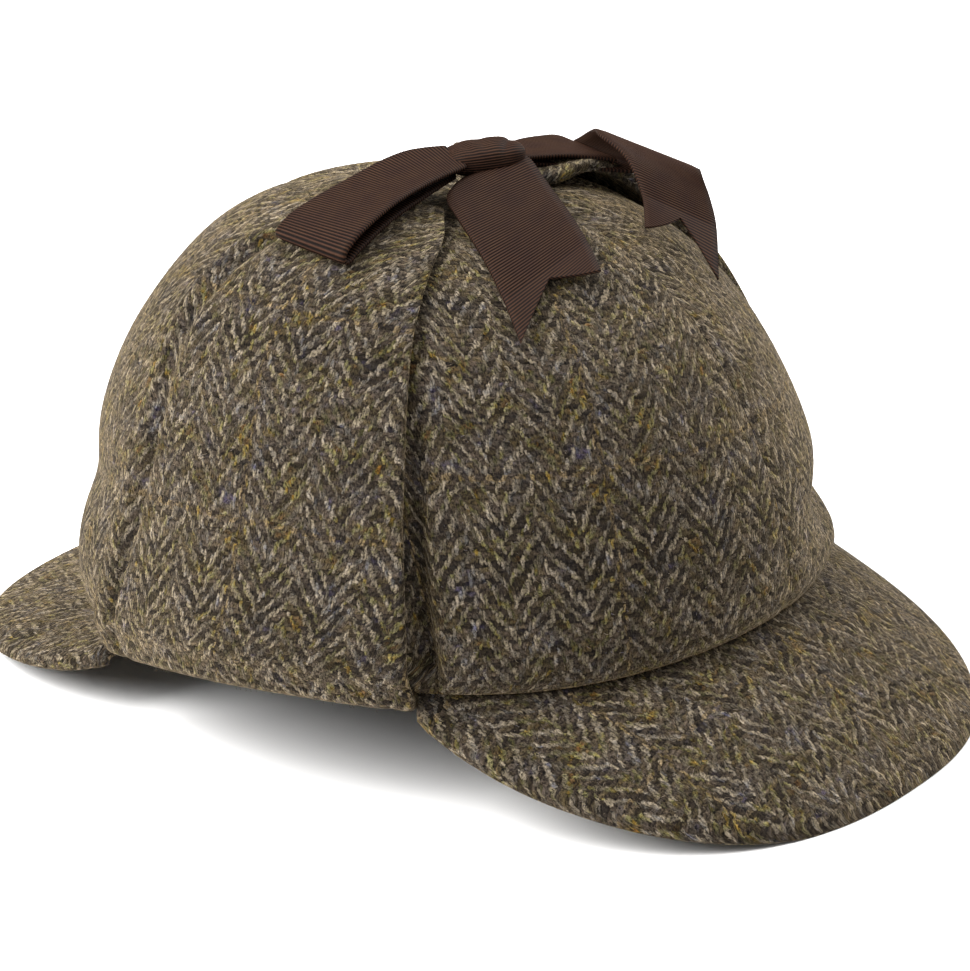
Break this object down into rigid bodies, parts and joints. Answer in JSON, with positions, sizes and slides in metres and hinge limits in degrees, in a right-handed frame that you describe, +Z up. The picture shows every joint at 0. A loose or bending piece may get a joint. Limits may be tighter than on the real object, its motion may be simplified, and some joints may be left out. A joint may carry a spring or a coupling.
{
  "type": "deerstalker hat",
  "caption": "Tweed deerstalker hat with a domed panelled crown, a peak front and back, and ear flaps folded up and tied over the crown with a ribbon bow.",
  "frame": {"origin": "on the table, under the centre of the hat's outline", "axes": "+Z up, front peak towards -Y, wearer's right towards -X"},
  "size_m": [0.1924, 0.2932, 0.1489],
  "materials": {
    "herringbone_tweed": "grey, olive and brown wool herringbone with coloured flecks, fuzzy and matte",
    "brown_grosgrain": "dark brown ribbed ribbon, matte with a slight sheen along its ribs"
  },
  "bodies": {
    "root": {"crown_panel_front_right": "herringbone_tweed", "crown_panel_front_left": "herringbone_tweed", "crown_panel_side_right": "herringbone_tweed", "crown_panel_side_left": "herringbone_tweed", "crown_panel_back_right": "herringbone_tweed", "crown_panel_back_left": "herringbone_tweed", "front_peak": "herringbone_tweed", "back_peak": "herringbone_tweed", "ear_flap_right": "herringbone_tweed", "ear_flap_left": "herringbone_tweed", "ribbon_knot": "brown_grosgrain", "ribbon_loop_right": "brown_grosgrain", "ribbon_loop_left": "brown_grosgrain", "ribbon_tail_front": "brown_grosgrain", "ribbon_tail_left": "brown_grosgrain"}
  },
  "joints": []
}
